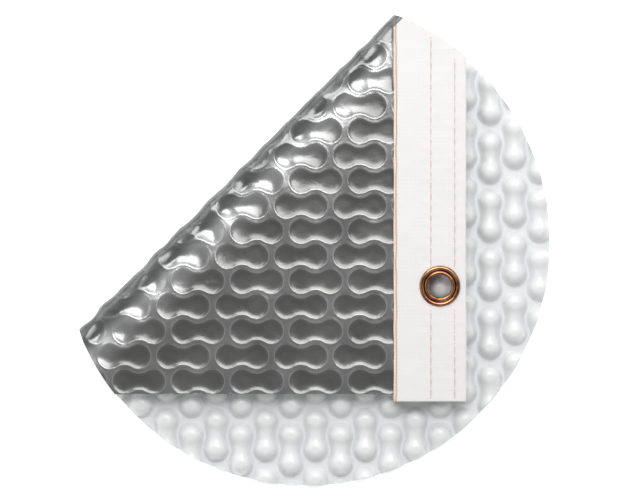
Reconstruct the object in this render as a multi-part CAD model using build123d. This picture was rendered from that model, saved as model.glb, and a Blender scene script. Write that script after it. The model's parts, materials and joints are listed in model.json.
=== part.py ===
"""Round sample of a bubble-film pool solar blanket, with its hemmed corner folded over.

Millimetres, +Z up. The origin is the centre of the round sample, on the face that lies on the floor.
The sheet is two films sealed together: a flat backing film (outside of the fold) and a formed film whose
waisted bubbles face the inside of the fold. The main panel lies with its bubbles up. The corner is folded
over along a diagonal, so its backing film faces up, and its hem runs along the corner's edge.

Across the fold, u points from the middle of the sample out over the fold, and v runs along the fold.
The fold is a half octagon of three narrow strips, hinged on the outer face of the backing film.
"""

import math
import os

from build123d import *

# ---------------------------------------------------------------- driving dimensions
sample_radius = 128.0  # the round outline that trims every layer
backing_thickness = 0.25  # flat film
bubble_film_thickness = 0.25  # formed film, land and dome wall
cell_pitch = 30.8  # from one bubble to the next along its own length
row_pitch = 13.1  # from one row of bubbles to the next
lobe_radius = 6.4  # each bubble is two round lobes ...
waist_radius = 3.8  # ... joined by a narrower half-round waist
lattice_x = -22.2  # one bubble of the main panel has its centre here
lattice_y = -99.6

fold_offset = 52.3  # from the sample's centre to the outside of the fold
fold_radius = 7.0  # half the height of the folded sample
fold_strips = 3  # hinged strips that make the roll
strip_gap = 0.1  # from a strip's end to its hinge line
panel_gap = 0.3  # from the end of a main panel's film to its hinge line
roll_clearance = 0.3  # bubbles keep this far from the roll
crushed_bubble_thickness = 0.9  # bubbles pressed flat inside the roll
least_cut_bubble = 1.5  # a bubble cut by an edge is kept if this much of a lobe is left
least_cut_volume = 0.5  # mm3, slivers of dome wall smaller than this are dropped

flap_bottom_y = -79.4  # cut edge of the folded corner's films
hem_bottom_y = -83.3  # the hem runs on past the films
hem_outer_x = 83.6
hem_width = 38.0
band_thickness = 0.5  # coated fabric, folded once round the edge
lining_thickness = 0.4  # tape inside the band
lining_lip = 1.0  # the lining shows this much beyond the band's cut edge
film_edge_clearance = 0.3  # from the films' edge to the inside of the lining's bend
bubble_to_hem = 0.3  # bubbles stop this far before the hem

stitch_rows = {"inner": 18.6, "outer": 6.2}  # distance of each row from the hem's outer edge
stitch_pitch = 5.7
stitch_length = 4.6
thread_width = 0.7
thread_height = 0.3
stitch_end_margin = 2.5  # from the hem's cut end to the first stitch
stitch_to_eyelet = 0.6  # stitches stop this far from the eyelet's rim

eyelet_from_outer_edge = 13.9
eyelet_from_bottom_end = 60.4
eyelet_bore_radius = 6.0
eyelet_wall = 0.45  # metal thickness of the eyelet and its washer
eyelet_roll_radius = 1.05  # outer radius of the barrel's curled lip
washer_rim_width = 4.75  # from the bore to the washer's outer edge
washer_bead_radius = 1.25
flange_rim_width = 4.4  # from the bore to the flange's outer edge
flange_bead_radius = 1.0
barrel_clearance = 0.05  # between the barrel and whatever it passes through

# ---------------------------------------------------------------- worked-out sizes
lobe_spacing = cell_pitch / 2
hinge_count = fold_strips + 1
bend_angle = 180.0 / hinge_count  # each hinge's share of the fold
half_bend = math.radians(bend_angle / 2)
strip_length = 2 * fold_radius * math.tan(half_bend)
roll_axis_u = fold_offset - fold_radius
first_hinge_u = roll_axis_u + strip_length / 2
folded_height = 2 * fold_radius
unfolded_mirror = (2 * roll_axis_u + hinge_count * strip_length) / math.sqrt(2)
laminate_thickness = backing_thickness + bubble_film_thickness

panel_end_u = first_hinge_u - panel_gap
bubble_end_u = roll_axis_u - roll_clearance
hem_inner_x = hem_outer_x - hem_width
band_inner_x = hem_inner_x + lining_lip
bubble_end_x = hem_inner_x - bubble_to_hem
film_outer_x = hem_outer_x - band_thickness - lining_thickness - film_edge_clearance

flap_top = folded_height
flap_land_bottom = flap_top - laminate_thickness
band_top = flap_top + lining_thickness + band_thickness
band_bottom = flap_land_bottom - lining_thickness - band_thickness
hem_middle_z = (band_top + band_bottom) / 2
hem_end_u = panel_end_u - (folded_height - band_bottom) * math.tan(half_bend)

eyelet_x = hem_outer_x - eyelet_from_outer_edge
eyelet_y = hem_bottom_y + eyelet_from_bottom_end
eyelet_barrel_radius = eyelet_bore_radius + eyelet_wall
washer_outer_radius = eyelet_bore_radius + washer_rim_width
flange_outer_radius = eyelet_bore_radius + flange_rim_width
punched_hole_radius = eyelet_barrel_radius + barrel_clearance

ACROSS = Plane(origin=(0, 0, 0), x_dir=(-1, 1, 0), z_dir=(1, 1, 0))  # local x is u, local y is Z
BIG = 4 * sample_radius


# ---------------------------------------------------------------- shapes shared by several parts
def outline(bottom, top):
    """The round outline that trims every layer, between two heights."""
    return Pos(0, 0, (bottom + top) / 2) * Cylinder(sample_radius, top - bottom)


def inside_fold(limit_u, bottom, top):
    """Everything on the sample's side of the plane u = limit_u."""
    slab = Box(BIG, BIG, top - bottom)
    return Rot(0, 0, 135) * Pos(limit_u - BIG / 2, 0, (bottom + top) / 2) * slab


def flap_window(limit_u, low_y, high_x, bottom, top):
    """The folded corner's region: inside the fold, above low_y and left of high_x."""
    corner = Pos(high_x - BIG / 2, low_y + BIG / 2, (bottom + top) / 2)
    slab = corner * Box(BIG, BIG, top - bottom)
    return outline(bottom, top) & inside_fold(limit_u, bottom, top) & slab


def main_window(limit_u, bottom, top):
    """The main panel's region."""
    return outline(bottom, top) & inside_fold(limit_u, bottom, top)


def bubble(wall):
    """One closed bubble, long axis along Y: two balls and a round bar, smaller all round by wall."""
    balls = [Pos(0, side * lobe_spacing / 2, 0) * Sphere(lobe_radius - wall) for side in (-1, 1)]
    waist = Rot(90, 0, 0) * Cylinder(waist_radius - wall, lobe_spacing)
    return balls[0] + balls[1] + waist


def dome():
    """The raised half of one bubble as a thin shell, standing on its film's land."""
    height = 2 * lobe_radius
    above = Pos(0, 0, bubble_film_thickness + height / 2) * Box(2 * height, 2 * cell_pitch, height)
    return (bubble(0) - bubble(bubble_film_thickness)) & above


def lattice():
    """Bubble centres of the flat, unfolded sheet. Every other column is shifted by a quarter pitch."""
    reach = 3 * sample_radius
    for column in range(-int(reach / row_pitch), int(reach / row_pitch) + 1):
        shift = -cell_pitch / 4 if column % 2 else 0.0
        for step in range(-int(reach / cell_pitch), int(reach / cell_pitch) + 1):
            yield lattice_x + column * row_pitch, lattice_y + shift + step * cell_pitch


def depth_inside(x, y, limits):
    """How far a point lies inside the round outline and the given half-planes (a, b, limit)."""
    inner = [sample_radius - math.hypot(x, y)]
    inner += [limit - (a * x + b * y) for a, b, limit in limits]
    return min(inner)


def formed_film(land, region, limits, centres, place):
    """A land sheet with hollow domes standing on it; place sets one dome at a bubble's centre."""
    whole = dome()
    solids = list(land.solids())
    for x, y, along in centres:
        half = lobe_spacing / 2
        ends = [(x + side * along[0] * half, y + side * along[1] * half) for side in (-1, 1)]
        depths = [depth_inside(ex, ey, limits) for ex, ey in ends]
        if min(depths) > lobe_radius:
            solids.append(place(x, y) * whole)
        elif max(depths) > least_cut_bubble - lobe_radius:
            trimmed = (place(x, y) * whole) & region
            solids += [piece for piece in trimmed.solids() if piece.volume > least_cut_volume]
    return Compound(children=[Solid(piece.wrapped) for piece in solids])


def strip(index, near, far):
    """Strip number index of the roll, between two depths below its outer face, mitred at both ends."""
    angle = math.radians(bend_angle * index)
    outward = (math.sin(angle), -math.cos(angle))
    along = (math.cos(angle), math.sin(angle))
    middle = (roll_axis_u + fold_radius * outward[0], fold_radius + fold_radius * outward[1])
    corners = []
    for side, depth in ((-1, near), (1, near), (1, far), (-1, far)):
        reach = side * (strip_length / 2 - depth * math.tan(half_bend) - strip_gap)
        corners.append(tuple(middle[i] + along[i] * reach - outward[i] * depth for i in (0, 1)))
    section = ACROSS * make_face(Polyline(*corners, close=True))
    return extrude(section, sample_radius, both=True) & outline(-1, folded_height + 1)


def punched(shape):
    """The eyelet's hole through a layer."""
    hole = Pos(eyelet_x, eyelet_y, hem_middle_z) * Cylinder(punched_hole_radius, 6 * fold_radius)
    return shape - hole


def folded_strip(inner_x, outer_half, thickness):
    """A fabric strip folded once round the hem's edge: a U lying on its side, before it is punched."""
    inner_half = outer_half - thickness
    bend_x = hem_outer_x - (band_top - band_bottom) / 2
    leg = bend_x - inner_x

    def stadium(half):
        body = Pos(inner_x + leg / 2, hem_middle_z) * Rectangle(leg, 2 * half)
        return body + Pos(bend_x, hem_middle_z) * Circle(half)

    section = stadium(outer_half) - stadium(inner_half)
    plane = Plane(origin=(0, hem_bottom_y, 0), x_dir=(1, 0, 0), z_dir=(0, -1, 0))
    bar = extrude(plane * section, -2 * sample_radius)
    return bar & flap_window(hem_end_u, hem_bottom_y, hem_outer_x + 1, band_bottom - 1, band_top + 1)


def stitches(from_edge, low_z):
    """One row of stitches, skipping those that the eyelet covers."""
    x = hem_outer_x - from_edge
    first = hem_bottom_y + stitch_end_margin + stitch_length / 2
    fold_y = x + (hem_end_u - stitch_end_margin) * math.sqrt(2)
    last = min(math.sqrt(sample_radius**2 - x**2), fold_y) - stitch_end_margin - stitch_length / 2
    stitch = extrude(Rot(0, 0, 90) * SlotOverall(stitch_length, thread_width), thread_height)
    row = []
    for step in range(int((last - first) / stitch_pitch) + 1):
        y = first + step * stitch_pitch
        to_eyelet = math.hypot(x - eyelet_x, max(0, abs(y - eyelet_y) - stitch_length / 2))
        if to_eyelet > washer_outer_radius + stitch_to_eyelet:
            row.append(Pos(x, y, low_z) * stitch)
    return Compound(row)


def ring(section):
    """A profile drawn in the XZ plane with X as the radius, turned about the eyelet's axis."""
    return Pos(eyelet_x, eyelet_y, 0) * revolve(Plane.XZ * section, Axis.Z)


def half_round(radius, middle, level, wall, up):
    """Half of a tube wall in section, standing on a level: up is +1 above it and -1 below it."""
    band = Circle(radius) - Circle(radius - wall)
    half = Pos(0, up * radius / 2) * Rectangle(2 * radius, radius)
    return Pos(middle, level) * (band & half)


def bar_section(low_r, high_r, low_z, high_z):
    """A rectangle in section, from its limits."""
    middle = Pos((low_r + high_r) / 2, (low_z + high_z) / 2)
    return middle * Rectangle(high_r - low_r, high_z - low_z)


# ---------------------------------------------------------------- the parts
def main_panel():
    """Backing film and bubble film of the panel that lies on the floor, bubbles up."""
    backing = main_window(panel_end_u, 0, backing_thickness)
    land = main_window(panel_end_u, backing_thickness, laminate_thickness)
    region = main_window(bubble_end_u, 0, 2 * lobe_radius)
    limits = [(-math.sqrt(0.5), math.sqrt(0.5), bubble_end_u)]
    centres = [(x, y, (0, 1)) for x, y in lattice()]
    film = formed_film(land, region, limits, centres, lambda x, y: Pos(x, y, backing_thickness))
    return {"backing_film_main": backing, "bubble_film_main": film}


def fold_strip_parts():
    """The roll's strips: backing film outside, crushed bubbles inside."""
    made = {}
    for index in range(1, fold_strips + 1):
        made[f"backing_film_fold_{index}"] = strip(index, 0, backing_thickness)
        inner = backing_thickness + crushed_bubble_thickness
        made[f"bubble_film_fold_{index}"] = strip(index, backing_thickness, inner)
    return made


def folded_corner():
    """Films of the folded corner: the main panel's sheet, mirrored across the fold, bubbles down."""
    backing_bottom = flap_top - backing_thickness
    backing = flap_window(panel_end_u, flap_bottom_y, film_outer_x, backing_bottom, flap_top)
    land = flap_window(panel_end_u, flap_bottom_y, film_outer_x, flap_land_bottom, backing_bottom)
    low = backing_bottom - 2 * lobe_radius
    high = backing_bottom + lobe_radius
    region = flap_window(bubble_end_u, flap_bottom_y, bubble_end_x, low, high)
    limits = [
        (-math.sqrt(0.5), math.sqrt(0.5), bubble_end_u),
        (1, 0, bubble_end_x),
        (0, -1, -flap_bottom_y),
    ]
    centres = [(y - unfolded_mirror, x + unfolded_mirror, (1, 0)) for x, y in lattice()]
    film = formed_film(
        punched(land), region, limits, centres, lambda x, y: Pos(x, y, backing_bottom) * Rot(180, 0, 90)
    )
    return {"backing_film_flap": punched(backing), "bubble_film_flap": film}


def hem():
    """White band and its lining, each folded round the corner's edge, and the two sewn rows."""
    outer_half = (band_top - band_bottom) / 2
    made = {
        "hem_band": punched(folded_strip(band_inner_x, outer_half, band_thickness)),
        "hem_lining": punched(folded_strip(hem_inner_x, outer_half - band_thickness, lining_thickness)),
    }
    for name, from_edge in stitch_rows.items():
        made[f"needle_thread_{name}"] = stitches(from_edge, band_top)
        made[f"bobbin_thread_{name}"] = stitches(from_edge, band_bottom - thread_height)
    return made


def eyelet_and_washer():
    """Two-piece eyelet: flange and barrel in one, curled over a beaded washer on the upper face."""
    washer_flat = band_top + eyelet_wall
    roll_middle = eyelet_bore_radius + eyelet_roll_radius
    flange_middle = flange_outer_radius - flange_bead_radius
    flange_top = band_bottom
    flange_flat = flange_top - eyelet_wall
    eyelet = half_round(eyelet_roll_radius, roll_middle, washer_flat, eyelet_wall, 1)
    eyelet += bar_section(eyelet_bore_radius, eyelet_barrel_radius, flange_flat, washer_flat)
    flat_end = flange_middle - flange_bead_radius + eyelet_wall
    eyelet += bar_section(eyelet_bore_radius, flat_end, flange_flat, flange_top)
    eyelet += half_round(flange_bead_radius, flange_middle, flange_top, eyelet_wall, -1)

    washer_middle = washer_outer_radius - washer_bead_radius
    washer_inner = eyelet_barrel_radius + barrel_clearance
    washer = bar_section(
        washer_inner, washer_middle - washer_bead_radius + eyelet_wall, band_top, washer_flat
    )
    washer += half_round(washer_bead_radius, washer_middle, band_top, eyelet_wall, 1)
    return {"eyelet": ring(eyelet), "eyelet_washer": ring(washer)}


def main():
    """Builds every part and writes one STEP file each."""
    os.makedirs("parts", exist_ok=True)
    parts = {**main_panel(), **fold_strip_parts(), **folded_corner(), **hem(), **eyelet_and_washer()}
    for name, shape in parts.items():
        export_step(shape, f"parts/{name}.step")
        print(name, "volume", round(shape.volume, 1))
    print("fold hinges (u, z):")
    for index in range(hinge_count):
        angle = math.radians(bend_angle * (index + 0.5))
        reach = fold_radius / math.cos(half_bend)
        u = roll_axis_u + reach * math.sin(angle)
        z = fold_radius - reach * math.cos(angle)
        print("  ", round(u, 4), round(z, 4), "at", round(-u * math.sqrt(0.5), 4), round(u * math.sqrt(0.5), 4))
    print("eyelet at", eyelet_x, eyelet_y, "bore from", band_bottom - eyelet_wall, "to", band_top + eyelet_wall)


main()
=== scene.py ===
# %% [markdown]
# # A folded sample of bubble-film pool blanket
# The real thing is one plastic sheet. A flat silver-grey backing film is heat-sealed to a film that was
# sucked into waisted bubbles while it was hot, so the two seal everywhere except over the bubbles. The round
# sample lies with its bubbles up and one corner folded over, so the corner shows its backing.
#
# A sheet that is folded is easiest to draw flat. Every film below is worked out on the flat, unfolded sheet
# and then carried round the fold by one function, so the bubbles run on through the fold as they do in the
# real sheet, and both films stay one film's thickness apart.

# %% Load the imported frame
import json
import bpy
import numpy as np
from mathutils import Matrix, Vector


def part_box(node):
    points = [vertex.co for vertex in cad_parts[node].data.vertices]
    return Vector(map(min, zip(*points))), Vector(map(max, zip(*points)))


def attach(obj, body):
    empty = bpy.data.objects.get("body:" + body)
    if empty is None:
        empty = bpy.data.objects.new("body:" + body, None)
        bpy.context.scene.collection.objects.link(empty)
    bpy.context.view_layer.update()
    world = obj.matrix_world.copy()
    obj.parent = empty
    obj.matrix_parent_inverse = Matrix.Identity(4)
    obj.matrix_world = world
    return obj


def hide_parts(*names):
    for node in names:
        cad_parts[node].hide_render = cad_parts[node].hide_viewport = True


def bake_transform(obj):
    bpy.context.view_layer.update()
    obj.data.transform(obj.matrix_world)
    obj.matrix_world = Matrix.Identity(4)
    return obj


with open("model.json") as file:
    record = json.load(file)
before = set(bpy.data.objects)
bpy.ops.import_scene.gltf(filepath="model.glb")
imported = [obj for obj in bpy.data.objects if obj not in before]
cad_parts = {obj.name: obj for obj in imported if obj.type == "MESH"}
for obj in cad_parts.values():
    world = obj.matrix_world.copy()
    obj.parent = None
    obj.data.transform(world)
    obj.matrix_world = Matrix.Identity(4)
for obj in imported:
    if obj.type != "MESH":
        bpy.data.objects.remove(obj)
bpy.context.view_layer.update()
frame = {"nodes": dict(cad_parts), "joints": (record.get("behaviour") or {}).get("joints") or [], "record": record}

# %% [markdown]
# ## Sizes
# The frame already knows where the fold, the hem and the eyelet are. Typing those places in again would let
# the two models drift apart, so they are read from it. ACROSS points across the fold and ALONG lies along it.

# %% Sizes, read from the frame
MM = 0.001
ACROSS = np.array([-1.0, 1.0, 0.0]) / np.sqrt(2)
ALONG = np.array([1.0, 1.0, 0.0]) / np.sqrt(2)
hinges = [np.array(joint["pos_m"]) for joint in frame["joints"]]
strip_length = float(np.linalg.norm(hinges[1] - hinges[0]))
folded_height = float(hinges[-1][2])
fold_radius = folded_height / 2
roll_u = float(hinges[0] @ ACROSS) - strip_length / 2
roll_length = len(hinges) * strip_length
sample_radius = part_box("backing_film_main")[1].x
film_low, film_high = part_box("backing_film_flap")
band_low, band_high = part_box("hem_band")
tape_low, tape_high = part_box("hem_lining")
eyelet_mount = next(m for m in frame["record"]["mounts"] if m["name"] == "eyelet")
eyelet_x, eyelet_y, _ = eyelet_mount["pos_m"]
print("fold at", round(roll_u / MM, 2), "mm, roll", round(roll_length / MM, 2), "mm long")

# %% The bubble pattern's sizes, as the formed film is made
CELL_PITCH = 30.8 * MM
ROW_PITCH = 13.1 * MM
LOBE_RADIUS = 6.35 * MM
WAIST_RADIUS = 4.3 * MM
WAIST_FLARE = 1.6 * MM  # how much wider the waist is where it meets a lobe's middle
LATTICE_X = -22.2 * MM
LATTICE_Y = -99.6 * MM
CREEP_X, CREEP_Y = 0.8 * MM, 1.8 * MM  # how far the pattern has crept away from the fold
CREEP_FROM, CREEP_SPAN = -20 * MM, 60 * MM  # where that is full, and how far it takes to fade out
FILM = 0.25 * MM
BUBBLE_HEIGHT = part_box("bubble_film_main")[1].z - 2 * FILM
print("bubbles", round(BUBBLE_HEIGHT / MM, 2), "mm high,", round(CELL_PITCH / MM, 2), "mm apart in a row")


# %% [markdown]
# ## Soft steps and gentle unevenness
# Film never has a hard corner or a dead flat stretch. A smooth step makes edges that ease in and out, and a
# sum of a few sine waves in fixed random directions makes slow unevenness that is the same on every run.

# %% Smooth step and ripples
def ease(t):
    """Rises from 0 to 1 as t goes from 0 to 1, flat at both ends: 3 t squared less 2 t cubed."""
    t = np.clip(t, 0, 1)
    return t * t * (3 - 2 * t)


def ripple(x, y, size, seed, waves=7):
    """About -1 to 1: the mean of sine waves of one size, in directions and phases drawn from the seed."""
    rng = np.random.default_rng(seed)
    turn = rng.uniform(0, 2 * np.pi, waves)[:, None, None]
    phase = rng.uniform(0, 2 * np.pi, waves)[:, None, None]
    length = size * rng.uniform(0.7, 1.4, waves)[:, None, None]
    wave = np.sin((x * np.cos(turn) + y * np.sin(turn)) * 2 * np.pi / length + phase)
    return wave.mean(0) * 1.9


# %% [markdown]
# ## The waisted bubble
# Each bubble is two round lobes with a narrower waist. Rows of them sit a row pitch apart, and every other
# row is moved on by a quarter of the bubble pitch, so lobes nest beside waists. Asking for each point how
# deep it lies inside its nearest bubble gives the whole pattern at once, with no copies to place.

# %% How far inside a bubble a flat point lies
def bubble_depth(x, y, wider=0.0):
    """1 over a lobe's middle, 0 at the outline and negative outside it: one less the squared distance from
    the lobe's middle over its squared radius, joined smoothly to the same for a hollow-sided waist between
    the lobes. Away from the fold the formed film has crept by up to two millimetres, so the pattern is read a
    little off there. A wider waist is asked for where the formed film flares out over its seal."""
    creep = 1 - ease(((y - x) / np.sqrt(2) - CREEP_FROM) / CREEP_SPAN)
    x, y = x - CREEP_X * creep, y + CREEP_Y * creep
    row = np.round((x - LATTICE_X) / ROW_PITCH)
    side = x - LATTICE_X - row * ROW_PITCH
    shift = np.where(row % 2 != 0, -CELL_PITCH / 4, 0.0)
    along = (y - LATTICE_Y - shift + CELL_PITCH / 2) % CELL_PITCH - CELL_PITCH / 2
    lobe = 1 - (side**2 + (np.abs(along) - CELL_PITCH / 4) ** 2) / LOBE_RADIUS**2
    past = np.maximum(np.abs(along) - CELL_PITCH / 4, 0)
    half = WAIST_RADIUS + wider + (WAIST_FLARE - wider) * (along / (CELL_PITCH / 4)) ** 2
    waist = 0.64 * (1 - (side / half) ** 2) - 4 * (past / LOBE_RADIUS) ** 2
    blend = 0.3
    return (lobe + waist + np.sqrt((lobe - waist) ** 2 + blend**2)) / 2 - blend / 6


def dome(depth):
    """A dome's height from 0 to 1: steep at its foot with a small fillet, and broad on top."""
    inside = np.maximum(depth, 0)
    inside = inside * inside / (inside + 0.03) * 1.03
    return 1 - (1 - np.clip(inside, 0, 1)) ** 1.6


# %% [markdown]
# ## Round the fold
# The flat sheet is measured by s, across the fold, and v, along it. Before the roll s is simply the distance
# from the sample's middle. On the roll it becomes an angle up to half a turn, and after it the sheet comes
# back over itself. Depth is measured from the backing's outer face, towards the bubbles.

# %% Carry flat points round the fold
def fold_u(s):
    """Distance from the middle of the sample, across the fold, of the outer face at s."""
    turn = np.clip((s - roll_u) / roll_length, 0, 1) * np.pi
    back = np.maximum(s - roll_u - roll_length, 0)
    return np.minimum(s, roll_u) + fold_radius * np.sin(turn) - back


def folded(s, v, depth):
    """Points in the frame: along v as it is, and across the fold and up by a half circle of the roll's radius
    less the depth, straight before it and straight back after it."""
    turn = np.clip((s - roll_u) / roll_length, 0, 1) * np.pi
    u = fold_u(s) - depth * np.sin(turn)
    z = fold_radius - (fold_radius - depth) * np.cos(turn)
    return u[..., None] * ACROSS + v[..., None] * ALONG + z[..., None] * np.array([0, 0, 1.0])


def flat_xy(s, v):
    """The flat sheet's own x and y, in which the bubble pattern is drawn."""
    return (v - s) / np.sqrt(2), (v + s) / np.sqrt(2)


# %% [markdown]
# ## Cutting a sheet to its outline
# A grid keeps even cells right up to a curved edge if each row is clipped to where the outline crosses it.
# The points past the edge pile up on it, and the faces between piled points have no area and are left out.

# %% Rows of a sheet, each clipped to the outline
def sheet_rows(s_from, s_to, spacing, corner=False):
    """Grid of s and v. Each row runs between the round outline's two crossings, and on the folded corner also
    stops at the film's two straight edges."""
    s = np.linspace(s_from, s_to, int(np.ceil((s_to - s_from) / spacing)) + 1)
    u = fold_u(s)
    reach = np.sqrt(np.maximum(sample_radius**2 - u**2, 0))
    low, high = -reach, reach
    if corner:
        low = np.maximum(low, np.sqrt(2) * film_low.y - u)
        high = np.maximum(np.minimum(high, np.sqrt(2) * film_high.x + u), low)
    count = int(np.ceil(2 * sample_radius / spacing)) + 1
    v = np.linspace(-sample_radius, sample_radius, count)
    return np.repeat(s[:, None], count, 1), np.clip(v[None, :], low[:, None], high[:, None])


# %% [markdown]
# ## From a grid to a mesh
# Blender's own plane or grid could be bent with modifiers, but the outline, the hole and the pattern would
# then be three more steps. A grid of points that is already in place needs only faces, and one function gives
# it them.

# %% Make a mesh from a grid of points
def grid_piece(name, points, body=None, keep=None, flip=False, closed=False, **values):
    """A smooth mesh with a face between each four neighbours of the grid. Points in the same place are
    shared, and each extra value becomes an attribute. Left out are faces with no area and those that
    keep(middles) turns down. flip turns the faces over, and closed joins the last column to the first."""
    rows, columns = points.shape[:2]
    index = np.arange(rows * columns).reshape(rows, columns)
    if closed:
        index = np.concatenate([index, index[:, :1]], 1)
    quads = np.stack([index[:-1, :-1], index[:-1, 1:], index[1:, 1:], index[1:, :-1]], -1).reshape(-1, 4)
    flat = points.reshape(-1, 3)
    if keep is not None:
        quads = quads[keep(flat[quads].mean(1))]
    place = np.round(flat / 1e-7).astype(np.int64)
    _, first, shared = np.unique(place, axis=0, return_index=True, return_inverse=True)
    quads = shared.reshape(-1)[quads]
    if flip:
        quads = quads[:, ::-1]
    repeat = np.stack([quads[:, k] == quads[:, (k + 1) % 4] for k in range(4)], 1)
    cross = (quads[:, 0] == quads[:, 2]) | (quads[:, 1] == quads[:, 3])
    whole = quads[(repeat.sum(1) == 0) & ~cross]
    three = quads[(repeat.sum(1) == 1) & ~cross]
    doubled = repeat[(repeat.sum(1) == 1) & ~cross]
    three = three[~doubled].reshape(-1, 3)
    used, fresh = np.unique(np.concatenate([whole.ravel(), three.ravel()]), return_inverse=True)
    mesh = bpy.data.meshes.new(name)
    mesh.vertices.add(len(used))
    mesh.vertices.foreach_set("co", flat[first[used]].astype(np.float32).ravel())
    sizes = np.concatenate([np.full(len(whole), 4), np.full(len(three), 3)])
    mesh.loops.add(len(fresh))
    mesh.loops.foreach_set("vertex_index", fresh.astype(np.int32))
    mesh.polygons.add(len(sizes))
    mesh.polygons.foreach_set("loop_start", np.concatenate([[0], np.cumsum(sizes)[:-1]]).astype(np.int32))
    mesh.polygons.foreach_set("use_smooth", np.ones(len(sizes), bool))
    mesh.update(calc_edges=True)
    for key, grid in values.items():
        attribute = mesh.attributes.new(key, "FLOAT", "POINT")
        attribute.data.foreach_set("value", grid.reshape(-1)[first[used]].astype(np.float32))
    piece = bpy.data.objects.new(name, mesh)
    bpy.context.scene.collection.objects.link(piece)
    if body:
        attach(piece, body)
    print(name, "faces", len(sizes), "triangles", len(whole) * 2 + len(three))
    return piece


# %% [markdown]
# ## Creases by the fold
# Where the sheet is bent tight, its bubbles are crushed, the backing sags deep into them, and long soft
# facets break up the roll. All of it fades out within about three rows of bubbles. It could be sculpted, but
# waves and smooth steps of the distance to the fold give the same result on every run.

# %% Height of the backing's outer face
SAG = 0.5  # mm, into a bubble on the flat
CRUSHED_SAG = 1.25  # mm, into a crushed one by the fold
BEAD = 0.09 * MM  # the seal's fine raised edge
FACET = 0.55 * MM  # height of the roll's facets
PUCKER = 0.25 * MM  # height of the unevenness beside them
SLACK = 0.05 * MM  # height of the film's unevenness everywhere
STANDS_OUT = -0.6 * MM  # the most the face may stand out past the fold, and on the floor not at all
FOLD_DIP = 1.3 * MM  # how far the fold is flattened on top


def near_fold(s, reach):
    """1 on the roll, easing to 0 at the given reach to either side of it."""
    away = np.maximum(np.maximum(roll_u - s, s - roll_u - roll_length), 0)
    return 1 - ease(away / reach)


def fold_dip(s):
    """The fold is flatter on top than a half round: it dips where the roll runs out into the corner."""
    past = s - roll_u - roll_length
    return FOLD_DIP * np.exp(-((past / np.where(past > 0, 14 * MM, 7 * MM)) ** 2))


def backing_depth(s, v):
    """The outer face's depth. It sags into each bubble and stands up in a fine bead at the outline. Towards
    the fold it sags deeper into the crushed bubbles, and the roll is broken into long soft facets. Where the
    sheet lies on the floor nothing stands below it."""
    x, y = flat_xy(s, v)
    inside = bubble_depth(x, y)
    bowl = 1 - (1 - np.clip(inside, 0, 1)) ** 2
    bead = BEAD * np.exp(-(((inside + 0.05) / 0.12) ** 2))
    close = near_fold(s, 30 * MM)
    crushed = near_fold(s, 34 * MM)
    on_roll = near_fold(s, 3 * MM)
    hollow = np.clip(inside, 0, 1) ** 0.9
    sunk = MM * (SAG * bowl * (1 - crushed) + CRUSHED_SAG * hollow * crushed) * (1 - 0.6 * on_roll)
    facet = np.abs(ripple(v, s * 0.3, 26 * MM, 5)) - 0.4
    crease = FACET * close**2 * facet + PUCKER * close * ripple(s, v, 14 * MM, 9)
    film = SLACK * ripple(x, y, 21 * MM, 3)
    floor_limit = STANDS_OUT * ease((s - roll_u) / (6 * MM))
    return np.maximum(sunk - bead * (1 - 0.6 * on_roll) + crease + film + fold_dip(s), floor_limit)


# %% [markdown]
# ## The formed film over it
# Vacuum forming stretches the second film into domes and leaves it sealed between them. One height for every
# point of the sheet, full over a bubble, low by the roll and flat under the hem, draws that without placing a
# single bubble.

# %% Height of the bubble film over the backing
def bubble_rise(s, v, under_hem):
    """The formed film's depth: two films in from the outer face, plus full domes on the flat, crushed ones by
    the roll, and none under the hem."""
    x, y = flat_xy(s, v)
    full = BUBBLE_HEIGHT * dome(bubble_depth(x, y, 0.9 * MM) + 0.03)
    away = np.maximum(roll_u - s, s - roll_u - roll_length)
    kept = 0.1 + 0.9 * ease((away - 0.5 * MM) / (9 * MM))
    if under_hem:
        hem_x = (v - fold_u(s)) / np.sqrt(2)
        kept = kept * ease((tape_low.x - 0.2 * MM - hem_x) / (2.5 * MM))
    lean = 0.12 * MM * ripple(x, y, 24 * MM, 12)
    close = near_fold(s, 14 * MM)
    uneven = full * kept * (1 + 0.02 * ripple(x, y, 40 * MM, 4)) + lean * ease(full / MM)
    return 2 * FILM + uneven + 0.6 * MM * close + fold_dip(s)


# %% [markdown]
# ## One sheet in four pieces
# A bent film can't turn on a line, so the sheet is cut down the middle of each strip of the fold, into four
# pieces that meet at the cuts. None of them is bound to a hinge, so they keep the shape they are drawn in.

# %% Where the sheet is cut, and a piece baked in place
cuts = [roll_u + strip_length * k for k in (1, 2, 3)]
corner_end = 2 * roll_u + roll_length - (film_low.y - film_high.x) / np.sqrt(2)
spans = [(-sample_radius, cuts[0]), (cuts[0], cuts[1]), (cuts[1], cuts[2]), (cuts[2], corner_end)]
HOLE_RADIUS = 7.4 * MM  # cut in the sheets, and covered by the eyelet's rims
print("cuts at", [round(c / MM, 2) for c in cuts], "mm")


def bend_across(piece):
    """Bakes a piece's transform into its mesh; it is not blended between the hinge's bodies."""
    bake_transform(piece)


def clear_of_eyelet(middles):
    """True for a face whose middle lies outside the hole that the eyelet fills."""
    return np.hypot(middles[:, 0] - eyelet_x, middles[:, 1] - eyelet_y) > HOLE_RADIUS


# %% Build both films
BACKING_SPACING = np.array([0.9, 0.55, 0.55, 0.55]) * MM
BUBBLE_SPACING = np.array([0.72, 0.8, 0.8, 0.85]) * MM
# PALE_REACH also sets how far the backing's painted highlight and shade by the fold reach.
PALE_REACH = 22 * MM  # how far from the fold the films' colour changes
PRESSED = 0.06 * MM  # how far the hem presses the backing in


def with_rim(grid, step=0.0):
    """Repeats a grid's first and last columns outside it, moved by a step, which turns a sheet's edge down."""
    return np.concatenate([grid[:, :1] + step, grid, grid[:, -1:] + step], 1)


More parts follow.
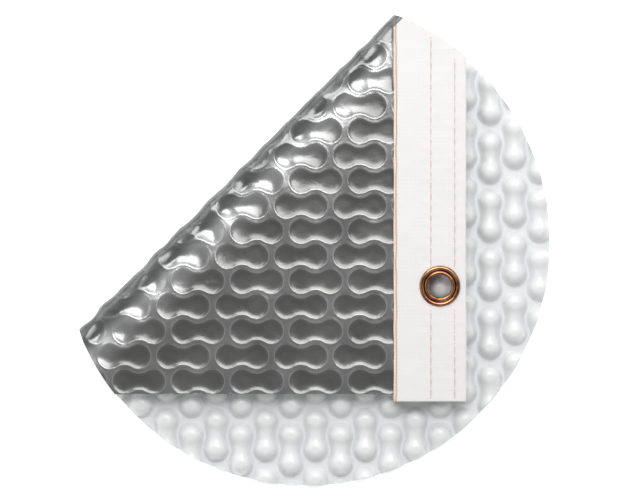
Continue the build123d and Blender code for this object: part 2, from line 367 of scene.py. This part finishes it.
backing, bubbles = [], []
for k, (s_from, s_to) in enumerate(spans):
    corner = k == 3
    keep = clear_of_eyelet if corner else None

    s, v = sheet_rows(s_from, s_to, BACKING_SPACING[k], corner)
    depth = backing_depth(s, v)
    hem_x = (v - fold_u(s)) / np.sqrt(2)
    under = ease((hem_x - tape_low.x + 1 * MM) / (2 * MM)) if corner else np.zeros_like(s)
    depth = depth * (1 - under) + PRESSED * under
    s, v, depth = with_rim(s), with_rim(v), with_rim(depth, 2 * FILM)
    backing.append(grid_piece(f"backing_{k + 1}", folded(s, v, depth), keep=keep, flip=True,
                              cell=bubble_depth(*flat_xy(s, v)), fold=near_fold(s, PALE_REACH)))

    s, v = sheet_rows(s_from, s_to, BUBBLE_SPACING[k], corner)
    sagged = np.maximum(backing_depth(s, v) - fold_dip(s), 0) * near_fold(s, 20 * MM)
    rise = sagged + bubble_rise(s, v, corner)
    bubbles.append(grid_piece(f"bubbles_{k + 1}", folded(s, v, rise), keep=keep,
                              cell=bubble_depth(*flat_xy(s, v)), fold=near_fold(s, PALE_REACH)))

# %% [markdown]
# ## Hem
# The corner's edge is bound with a strip of white coated fabric over a cream tape, both folded round the
# film's edge and sewn through. A folded strip is one profile, out along the top, round the edge and back
# underneath, carried along the edge. Solidify then gives it a real wall, and closes its cut ends and the
# punched hole too.

# %% Relief of the sewn fabric
stitch_x = {key: (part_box(f"needle_thread_{key}")[0].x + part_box(f"needle_thread_{key}")[1].x) / 2
            for key in ("inner", "outer")}
STITCH_PITCH = 5.7 * MM
needle_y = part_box("needle_thread_inner")[0].y - 0.5 * MM  # where the first stitch dives in
print("rows at x", {key: round(x / MM, 2) for key, x in stitch_x.items()}, "mm")


def hem_relief(x, y):
    """Outward lift of the fabric: slow waves, a shallow groove along each sewn row that is deepest where the
    needle went in, and short puckers across it."""
    lift = 0.16 * MM * ripple(x, y, 46 * MM, 21) + 0.05 * MM * ripple(x, y, 13 * MM, 22)
    for row in stitch_x.values():
        groove = np.exp(-(((x - row) / (0.9 * MM)) ** 2))
        beat = np.cos((y - needle_y) / STITCH_PITCH * 2 * np.pi)
        wide = np.exp(-(((x - row) / (4.0 * MM)) ** 2))
        lift = lift - 0.16 * MM * groove * (0.6 + 0.4 * beat) + 0.05 * MM * wide * beat
    return lift


def needle_holes(x, y):
    """1 in the small hole at each stitch's end, 0 elsewhere."""
    mark = np.zeros_like(x)
    for row in stitch_x.values():
        off = (y - needle_y + STITCH_PITCH / 2) % STITCH_PITCH - STITCH_PITCH / 2
        mark = np.maximum(mark, np.exp(-((x - row) ** 2 + off**2) / (0.5 * MM) ** 2))
    return mark


# %% A strip folded round the edge
def folded_strip(name, low, high, wall, spacing, wave, seed, sewn):
    """A strip from its inner edge along the top, half round the outer edge and back underneath. Rows follow
    the edge's direction y and stop at the round outline and at the fold. The cut inner edge waves by up to
    wave millimetres, and a sewn strip has the stitches' relief. Solidify puts the wall inside the outer
    face."""
    middle, half = (low.z + high.z) / 2, (high.z - low.z) / 2
    bend_x = high.x - half
    steps = int(np.ceil((bend_x - low.x) / spacing))
    t = np.linspace(0, 1, steps + 1)
    arc = np.linspace(0, np.pi, 13)[1:-1]
    leg = low.x + (bend_x - low.x) * t
    outer_x = np.concatenate([leg, bend_x + half * np.sin(arc), leg[::-1]])
    outer_z = np.concatenate([np.full_like(leg, half), half * np.cos(arc), np.full_like(leg, -half)])
    lean_x = np.concatenate([np.zeros_like(leg), np.sin(arc), np.zeros_like(leg)])
    lean_z = np.concatenate([np.ones_like(leg), np.cos(arc), -np.ones_like(leg)])
    free = np.concatenate([1 - t, np.zeros_like(arc), (1 - t)[::-1]])
    y = np.arange(low.y, high.y + spacing, spacing)[:, None]
    fold_line = high.y - np.sqrt(sample_radius**2 - high.y**2)
    y_top = np.minimum(np.sqrt(sample_radius**2 - outer_x**2), outer_x + fold_line)
    y = np.minimum(y, y_top[None, :])
    edge = wave * MM * ripple(np.zeros_like(y), y, 19 * MM, seed) * free[None, :] ** 12
    x = outer_x[None, :] + edge
    lift = hem_relief(x, y) * (1 - 0.7 * free[None, :] ** 12) if sewn else np.zeros_like(x)
    points = np.stack([x + lean_x * lift, y, middle + outer_z + lean_z * lift], -1)
    from_edge = np.broadcast_to(outer_x - low.x, x.shape)
    piece = grid_piece(name, points, "folded_corner", keep=clear_of_eyelet,
                       edge=from_edge, pin=needle_holes(x, y))
    thick = piece.modifiers.new("wall", "SOLIDIFY")
    thick.thickness, thick.offset = wall, -1
    return piece


# %% Band and tape
band = folded_strip("hem_band_fabric", band_low, band_high, 0.5 * MM, 0.66 * MM, 0.30, 31, True)
tape = folded_strip("hem_tape_fabric", tape_low, tape_high, 0.4 * MM, 1.2 * MM, 0.12, 32, False)


# %% [markdown]
# ## Lockstitch
# A stitch is a short length of twisted thread that dives into the fabric at both ends. A copied object for
# each would be slow to draw and to export, so all of a row's stitches are one mesh, worked out together: a
# round thread is carried along a low arch, and each arch is moved to its place in the row.

# %% Sewn rows
STITCH_LENGTH = 4.6 * MM
THREAD_RADIUS = 0.26 * MM
ARCH = 0.18 * MM  # how high a stitch stands at its middle
SUNK = 0.10 * MM  # how deep the thread has settled into the cloth


def sewn_row(name, node, up):
    """Arched round threads, one per stitch of the CAD row. A stitch's centre line rises from the cloth and
    comes back to it along half a sine wave. Its radius shrinks to a small capped end, and six twists run
    along it."""
    places = np.array([vertex.co[:] for vertex in frame["nodes"][node].data.vertices])
    low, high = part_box(node)
    starts = np.arange(low.y, high.y - STITCH_LENGTH + 0.1 * MM, STITCH_PITCH)
    starts = starts[[bool(np.any(np.abs(places[:, 1] - start) < 0.8 * MM)) for start in starts]]
    t = np.linspace(0, 1, 19)[:, None]
    ring = np.linspace(0, 2 * np.pi, 9)[:-1][None, :]
    twist = 1 + 0.10 * np.sin(ring + t * 2 * np.pi * 6)
    radius = THREAD_RADIUS * twist * np.sqrt(np.sin(np.pi * t) * 0.96 + 0.04)
    centre = (low.z if up > 0 else high.z) + up * (ARCH * np.sin(np.pi * t) - SUNK)
    x = (low.x + high.x) / 2 + radius * np.cos(ring)
    y = np.broadcast_to(t * STITCH_LENGTH, x.shape)
    one = np.stack([x, y, centre + radius * np.sin(ring)], -1)
    rows = (one + np.array([0, 1.0, 0]) * starts[:, None, None, None]).reshape(-1, ring.size, 3)
    breaks = np.arange(len(rows) - 1) % t.size != t.size - 1
    index = np.arange(rows.shape[0] * ring.size).reshape(rows.shape[:2])
    ends = index[:: t.size].tolist() + index[t.size - 1 :: t.size, ::-1].tolist()
    index = np.concatenate([index, index[:, :1]], 1)
    quads = np.stack([index[:-1, :-1], index[:-1, 1:], index[1:, 1:], index[1:, :-1]], -1)
    quads = quads[breaks].reshape(-1, 4)
    mesh = bpy.data.meshes.new(name)
    mesh.from_pydata(rows.reshape(-1, 3).tolist(), [], quads[:, ::-1].tolist() + ends)
    mesh.polygons.foreach_set("use_smooth", np.ones(len(mesh.polygons), bool))
    piece = bpy.data.objects.new(name, mesh)
    bpy.context.scene.collection.objects.link(piece)
    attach(piece, "folded_corner")
    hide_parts(node)
    print(name, len(starts), "stitches")
    return piece


threads = [sewn_row(f"stitches_{side}_{key}", f"{side}_thread_{key}", up)
           for side, up in (("needle", 1), ("bobbin", -1)) for key in ("inner", "outer")]


# %% [markdown]
# ## Eyelet
# The eyelet is pressed from thin copper-plated brass in two parts: a barrel with a flange below, and a beaded
# washer above that the barrel's end is curled over. A Screw or a Spin would turn a drawn profile too, but
# here the profile is worked out from radii, so it is turned in the same way as every other grid.

# %% Turn a profile about the eyelet's axis
def turned(name, profile, node, flip=False):
    """A closed profile of radius and height pairs in millimetres, swept a full turn about the upright axis."""
    angle = np.linspace(0, 2 * np.pi, 97)[:-1][:, None]
    r, z = np.array(profile).T[:, None, :] * MM
    x, y = eyelet_x + r * np.cos(angle), eyelet_y + r * np.sin(angle)
    points = np.stack([x, y, np.broadcast_to(z, x.shape)], -1)
    points = np.concatenate([points, points[:1]], 0)
    piece = grid_piece(name, points, "folded_corner", closed=True, flip=flip)
    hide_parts(node)
    return piece


def arc(middle, level, radius, start, end, steps=12):
    """Points on part of a circle, angles in degrees from the outward direction."""
    angle = np.radians(np.linspace(start, end, steps))
    return [(middle + radius * np.cos(a), level + radius * np.sin(a)) for a in angle]


# %% The barrel and the washer, in millimetres
top, bottom = band_high.z / MM, band_low.z / MM
WALL = 0.45
BORE = 6.0
PUNCHED = 6.5  # radius of the hole that the barrel goes through
LIP, LIP_ROLL = 7.05, 1.05  # where the curled end's round middle lies, and its outer radius
FLANGE, FLANGE_ROLL = 9.4, 1.0
BEAD_RING, BEAD_ROLL = 9.5, 1.25
FACE_OUT, FACE_UNDER = 7.6, 8.4  # where the washer's plain face meets its bead, above and below
CLEAR = 0.02  # between the washer and the fabric

lip = arc(LIP, top + WALL, LIP_ROLL, 180, 0) + arc(LIP, top + WALL, LIP_ROLL - WALL, 0, 180)
foot = [(BORE + WALL, bottom)] + arc(FLANGE, bottom, FLANGE_ROLL - WALL, 180, 360)
foot += arc(FLANGE, bottom, FLANGE_ROLL, 360, 205) + arc(BORE + 0.5, bottom + 0.05, 0.5, 250, 180, 6)
barrel = turned("eyelet_barrel", lip + foot, "eyelet")
bead = arc(BEAD_RING, top, BEAD_ROLL, 0, 160, 16) + [(FACE_OUT, top + WALL), (PUNCHED, top + WALL)]
bead += [(PUNCHED, top + CLEAR), (FACE_UNDER, top + CLEAR)] + arc(BEAD_RING, top, BEAD_ROLL - WALL, 160, 0)
washer = turned("eyelet_washer_ring", bead, "eyelet_washer", flip=True)


# %% [markdown]
# ## Finishes
# Each finish starts from what the real thing is made of. Nodes could be placed by hand, but one small
# function that adds a node with its settings and links lets a finish read as a list of what it is made of. A
# noise texture's grain is about 1 / Scale metres, and a wave texture repeats every 0.314 / Scale metres.

# %% Colours and nodes
def colour(hexed):
    """An sRGB hex colour as linear red, green, blue and alpha."""
    c = np.array([int(hexed[k : k + 2], 16) for k in (1, 3, 5)]) / 255
    return (*np.where(c <= 0.04045, c / 12.92, ((c + 0.055) / 1.055) ** 2.4), 1.0)


def add(tree, kind, links=None, stops=(), **settings):
    """Adds a node. Settings name its own properties or its sockets, links give sockets their sources, and
    stops are the positions and hex colours of a colour ramp."""
    made = tree.nodes.new("ShaderNode" + kind)
    for key, value in settings.items():
        if hasattr(made, key):
            setattr(made, key, value)
        else:
            made.inputs[int(key[1:]) if key[0] == "_" else key.replace("_", " ")].default_value = value
    for key, source in (links or {}).items():
        tree.links.new(source, made.inputs[key])
    if stops:
        elements = made.color_ramp.elements
        while len(elements) < len(stops):
            elements.new(0.5)
        for element, (position, hexed) in zip(elements, stops):
            element.position, element.color = position, colour(hexed)
    return made


def finish(name, **settings):
    """A new material with one Principled shader, its tree, and where its patterns are placed."""
    material = bpy.data.materials.new(name)
    material.use_nodes = True
    tree = material.node_tree
    shader = tree.nodes["Principled BSDF"]
    for key, value in settings.items():
        shader.inputs[key.replace("_", " ")].default_value = value
    place = tree.nodes.new("ShaderNodeTexCoord").outputs["Object"]
    return material, tree, place


def connect(material, **sources):
    """Links node outputs to the shader's sockets, and prints how many nodes the finish took."""
    tree = material.node_tree
    for key, source in sources.items():
        tree.links.new(source, tree.nodes["Principled BSDF"].inputs[key.replace("_", " ")])
    print(material.name, len(tree.nodes), "nodes")


# %% [markdown]
# ## Silver-grey polyethylene backing film
# Blown film filled with aluminium flake: half metallic and satin, darker where it hangs free over a bubble's
# air and paler where the two films are sealed. A pale ring on each seal's edge is a painted highlight. Near
# the fold the colour turns paler, a painted highlight, and on the roll itself darker, a painted shade. The two
# attributes that the mesh carries, how far inside a bubble and how near the fold a point lies, give those
# tones, so that they bend with the sheet.
# Patches of about 17 mm vary the tone and gloss, and 8 mm and 2.4 mm dents break up the reflections.

# %% Silver-grey polyethylene backing film
silver, tree, place = finish("aluminised_polyethylene_film", Metallic=0.55, Roughness=0.3)
cell = add(tree, "Attribute", attribute_name="cell").outputs["Fac"]
shifted = add(tree, "MapRange", {"Value": cell}, _1=-0.5, _2=0.5).outputs["Result"]
# The pale #b0b0b0 stop at 0.48, on each seal's edge, is a painted highlight.
tones = [(0.0, "#8b8b8b"), (0.38, "#909090"), (0.48, "#b0b0b0"), (0.57, "#787877"), (1.0, "#70706f")]
flat = add(tree, "ValToRGB", {"Fac": shifted}, tones).outputs["Color"]
bent = add(tree, "Attribute", attribute_name="fold").outputs["Fac"]
share = add(tree, "Math", {0: bent}, operation="MULTIPLY", _1=0.75).outputs[0]
# Painted light by the fold: the pale stop is a painted highlight, the dark end on the roll a painted shade.
fold_painted_light = add(tree, "ValToRGB", {"Fac": bent}, [(0.8, "#d4d5d5"), (1.0, "#767777")]).outputs["Color"]
base = add(tree, "Mix", {0: share, 6: flat, 7: fold_painted_light}, data_type="RGBA").outputs[2]
cloud = add(tree, "TexNoise", {"Vector": place}, Scale=60.0, Detail=4.0).outputs["Fac"]
tint = add(tree, "ValToRGB", {"Fac": cloud}, [(0.3, "#dcdcdc"), (0.7, "#ffffff")]).outputs["Color"]
mixed = add(tree, "Mix", {6: base, 7: tint}, data_type="RGBA", blend_type="MULTIPLY", _0=1.0).outputs[2]
fine = add(tree, "TexNoise", {"Vector": place}, Scale=420.0, Detail=3.0).outputs["Fac"]
soft = add(tree, "TexNoise", {"Vector": place}, Scale=120.0, Detail=2.0, Distortion=0.6).outputs["Fac"]
dents = add(tree, "Bump", {"Height": soft}, Distance=0.0006, Strength=0.25).outputs["Normal"]
grained = add(tree, "Bump", {"Height": fine, "Normal": dents}, Distance=0.0002, Strength=0.15).outputs["Normal"]
gloss = add(tree, "MapRange", {"Value": cloud}, _3=0.19, _4=0.28).outputs["Result"]
connect(silver, Base_Color=mixed, Normal=grained, Roughness=gloss)

# %% [markdown]
# ## Pearl white polyethylene bubble film
# Vacuum-formed film with a white pigment: glossy on the stretched domes, a touch duller on the sealed land.
# Real film lets some light through, but a thin see-through shell is slow and noisy, so its soft tones are
# painted by how far inside a bubble a point lies. Dents of about 7 mm keep its highlights from being perfect.

# %% Pearl white polyethylene bubble film
pearl, tree, place = finish("pearl_white_polyethylene_film", IOR=1.51)
cell = add(tree, "Attribute", attribute_name="cell").outputs["Fac"]
shifted = add(tree, "MapRange", {"Value": cell}, _1=-0.5, _2=0.5).outputs["Result"]
tones = [(0.0, "#e2e4e5"), (0.45, "#dcdedf"), (0.6, "#dfe0e1"), (1.0, "#e2e3e3")]
base = add(tree, "ValToRGB", {"Fac": shifted}, tones).outputs["Color"]
gloss = add(tree, "MapRange", {"Value": shifted}, _3=0.42, _4=0.22).outputs["Result"]
soft = add(tree, "TexNoise", {"Vector": place}, Scale=150.0, Detail=3.0).outputs["Fac"]
dents = add(tree, "Bump", {"Height": soft}, Distance=0.0004, Strength=0.25).outputs["Normal"]
connect(pearl, Base_Color=base, Roughness=gloss, Normal=dents)

# %% [markdown]
# ## White coated woven fabric
# Polyester weave under a thin white coating. Its threads lie about 0.5 mm apart, which is too fine to show,
# so they are drawn 2 mm apart. Two crossed waves make the weave, which needs no image. The inner edge is
# tan for under a millimetre, and each needle hole is a faint warm dot of painted shade.

# %% White coated woven fabric
coated, tree, place = finish("coated_polyester_fabric", Roughness=0.5)
edge = add(tree, "Attribute", attribute_name="edge").outputs["Fac"]
line = add(tree, "MapRange", {"Value": edge}, _1=0.0, _2=0.002).outputs["Result"]
tones = [(0.0, "#c09a7b"), (0.22, "#cda98c"), (0.42, "#e2dbd6"), (0.8, "#e2e0df")]
base = add(tree, "ValToRGB", {"Fac": line}, tones).outputs["Color"]
pin = add(tree, "Attribute", attribute_name="pin").outputs["Fac"]
# Painted shade: each needle hole is darkened in colour, with no hole in the mesh.
needle_hole_shade = add(tree, "ValToRGB", {"Fac": pin}, [(0.2, "#ffffff"), (0.9, "#dccfc8")]).outputs["Color"]
mixed = add(tree, "Mix", {6: base, 7: needle_hole_shade}, data_type="RGBA", blend_type="MULTIPLY", _0=1.0).outputs[2]
warp = add(tree, "TexWave", {"Vector": place}, bands_direction="X", Scale=157.0, Distortion=0.4).outputs["Fac"]
weft = add(tree, "TexWave", {"Vector": place}, bands_direction="Y", Scale=157.0, Distortion=0.4).outputs["Fac"]
weave = add(tree, "Math", {0: warp, 1: weft}, operation="MULTIPLY").outputs[0]
cloud = add(tree, "TexNoise", {"Vector": place}, Scale=90.0, Detail=4.0).outputs["Fac"]
slack = add(tree, "Bump", {"Height": cloud}, Distance=0.0008, Strength=0.25).outputs["Normal"]
woven = add(tree, "Bump", {"Height": weave, "Normal": slack}, Distance=0.0001, Strength=0.25).outputs["Normal"]
connect(coated, Base_Color=mixed, Normal=woven)

# %% [markdown]
# ## Cream woven tape
# Undyed cotton tape, matt, with a thread every half millimetre, drawn 1.8 mm apart so that it shows. Only a
# narrow lip of it is seen, so one wave stands for the weave.

# %% Cream woven tape
cream, tree, place = finish("cream_cotton_tape", Roughness=0.85)
warp = add(tree, "TexWave", {"Vector": place}, bands_direction="Y", Scale=175.0, Distortion=0.8).outputs["Fac"]
base = add(tree, "ValToRGB", {"Fac": warp}, [(0.2, "#e5dccf"), (0.8, "#eae3d9")]).outputs["Color"]
ribbed = add(tree, "Bump", {"Height": warp}, Distance=0.0001, Strength=0.15).outputs["Normal"]
connect(cream, Base_Color=base, Normal=ribbed)

# %% [markdown]
# ## Twisted polyester thread
# Three plies twisted together, white with a slight pink cast. The plies cross a real thread every 0.5 mm or
# so, and are drawn as a slanting line every 1 mm so that they show.

# %% Twisted polyester thread
thread, tree, place = finish("twisted_polyester_thread", Roughness=0.6)
slant = add(tree, "Mapping", {"Vector": place}, Rotation=(0, 0, 0.7)).outputs["Vector"]
ply = add(tree, "TexWave", {"Vector": slant}, bands_direction="X", Scale=314.0, Distortion=0.2).outputs["Fac"]
base = add(tree, "ValToRGB", {"Fac": ply}, [(0.2, "#c6b1a7"), (0.8, "#dccec7")]).outputs["Color"]
plied = add(tree, "Bump", {"Height": ply}, Distance=0.0001, Strength=0.5).outputs["Normal"]
connect(thread, Base_Color=base, Normal=plied)

# %% [markdown]
# ## Copper-plated pressed brass
# Plated and tumbled: warm and mirror-like, with darker tarnish in patches of 5 mm or so. It is a plain metal,
# so the colour and the roughness do the work, and fine 0.7 mm marks of handling keep it from looking like
# glass.

# %% Copper-plated pressed brass
copper, tree, place = finish("copper_plated_brass", Metallic=1.0)
cloud = add(tree, "TexNoise", {"Vector": place}, Scale=180.0, Detail=5.0).outputs["Fac"]
base = add(tree, "ValToRGB", {"Fac": cloud}, [(0.35, "#7c4e3a"), (0.65, "#bb8c68")]).outputs["Color"]
gloss = add(tree, "MapRange", {"Value": cloud}, _3=0.10, _4=0.22).outputs["Result"]
marks = add(tree, "TexNoise", {"Vector": place}, Scale=1500.0, Detail=2.0).outputs["Fac"]
worn = add(tree, "Bump", {"Height": marks}, Distance=0.00003, Strength=0.15).outputs["Normal"]
connect(copper, Base_Color=base, Roughness=gloss, Normal=worn)

# %% [markdown]
# ## Which piece is which
# Each visual piece takes over from the CAD nodes it stands for, which are hidden. The first piece of each film
# stands for the lower sheet and the strip before the first cut.

# %% Give every piece its finish, and hide the CAD nodes it takes over from
for k, (skin, film) in enumerate(zip(backing, bubbles)):
    skin.data.materials.append(silver)
    film.data.materials.append(pearl)
    bend_across(skin)
    bend_across(film)
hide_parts("backing_film_main", "backing_film_fold_1")
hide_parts("backing_film_fold_2")
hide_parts("backing_film_fold_3")
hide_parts("backing_film_flap")
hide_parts("bubble_film_main", "bubble_film_fold_1")
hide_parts("bubble_film_fold_2")
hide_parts("bubble_film_fold_3")
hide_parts("bubble_film_flap")
band.data.materials.append(coated)
tape.data.materials.append(cream)
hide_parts("hem_band")
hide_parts("hem_lining")
for piece in threads:
    piece.data.materials.append(thread)
for piece in (barrel, washer):
    piece.data.materials.append(copper)
print("finished", len(backing + bubbles + threads) + 4, "pieces")

# %% [markdown]
# ## Floor, light and camera
# Film this glossy needs large soft boxes, because it mirrors them. The main one hangs high above the sample's
# far side, so the bubbles shade towards the near side. A wide one stands low behind, and a weak one on the
# left lifts the fold. The sky straight above stays dim, which keeps the silver film dark where it lies flat.

# %% Floor
reach = np.linspace(-1.6, 1.6, 9)
floor_x, floor_y = np.meshgrid(reach, reach, indexing="ij")
floor = grid_piece("floor", np.stack([floor_x, floor_y, np.full_like(floor_x, -0.0002)], -1), flip=True)
paper, tree, place = finish("white_card", Roughness=0.9, Emission_Color=(1, 1, 1, 1), Emission_Strength=0.6)
grain = add(tree, "TexNoise", {"Vector": place}, Scale=400.0).outputs["Fac"]  # 2.5 mm fibres
base = add(tree, "ValToRGB", {"Fac": grain}, [(0.3, "#f6f6f6"), (0.7, "#fafafa")]).outputs["Color"]
connect(paper, Base_Color=base)
floor.data.materials.append(paper)


# %% Soft boxes
def soft_box(name, place, width, height, power):
    """An area light at a place, turned to face the sample's middle. A lamp shines along its own downward
    axis, so its upward one points from the middle to the lamp."""
    lamp = bpy.data.lights.new(name, "AREA")
    lamp.shape, lamp.size, lamp.size_y, lamp.energy = "RECTANGLE", width, height, power
    holder = bpy.data.objects.new(name, lamp)
    bpy.context.scene.collection.objects.link(holder)
    spot = np.array(place, float)
    back = spot / np.linalg.norm(spot)
    right = np.cross([0, 0, 1.0], back)
    right = right / np.linalg.norm(right)
    rows = np.eye(4)
    rows[:3, 0], rows[:3, 1], rows[:3, 2], rows[:3, 3] = right, np.cross(back, right), back, spot
    holder.matrix_world = Matrix(rows.tolist())
    print(name, power, "W")


soft_box("top_box", (0.10, 0.52, 1.22), 0.95, 0.58, 10.5)
soft_box("back_box", (-0.1, 1.2, 0.75), 1.6, 0.7, 6.5)
soft_box("left_box", (-1.0, 0.35, 0.55), 0.8, 0.8, 2)

# %% Sky, brightest low down and dim overhead
world = bpy.data.worlds.new("studio")
bpy.context.scene.world = world
world.use_nodes = True
tree = world.node_tree
direction = tree.nodes.new("ShaderNodeTexCoord").outputs["Generated"]
upward = add(tree, "SeparateXYZ", {0: direction}).outputs["Z"]
tones = [(0.0, "#9a9a9a"), (0.35, "#ffffff"), (0.75, "#dddddd"), (0.95, "#8c8c8c"), (1.0, "#808080")]
sky = add(tree, "ValToRGB", {"Fac": upward}, tones).outputs["Color"]
tree.links.new(sky, tree.nodes["Background"].inputs["Color"])
tree.nodes["Background"].inputs["Strength"].default_value = 0.70
bpy.context.scene.view_settings.view_transform = "Standard"

# %% Camera
# Straight down from far away, through a long lens, so upright walls hardly show.
VIEW_WIDTH = 0.3308  # metres of the sheet that the view takes in
VIEW_MIDDLE = (0.0044, -0.0040)
lens = bpy.data.cameras.new("camera")
lens.lens, lens.sensor_width = 200, 36
lens.clip_start, lens.clip_end = 0.1, 10
camera = bpy.data.objects.new("camera", lens)
bpy.context.scene.collection.objects.link(camera)
camera.location = (*VIEW_MIDDLE, VIEW_WIDTH * lens.lens / lens.sensor_width + folded_height / 2)
bpy.context.scene.camera = camera
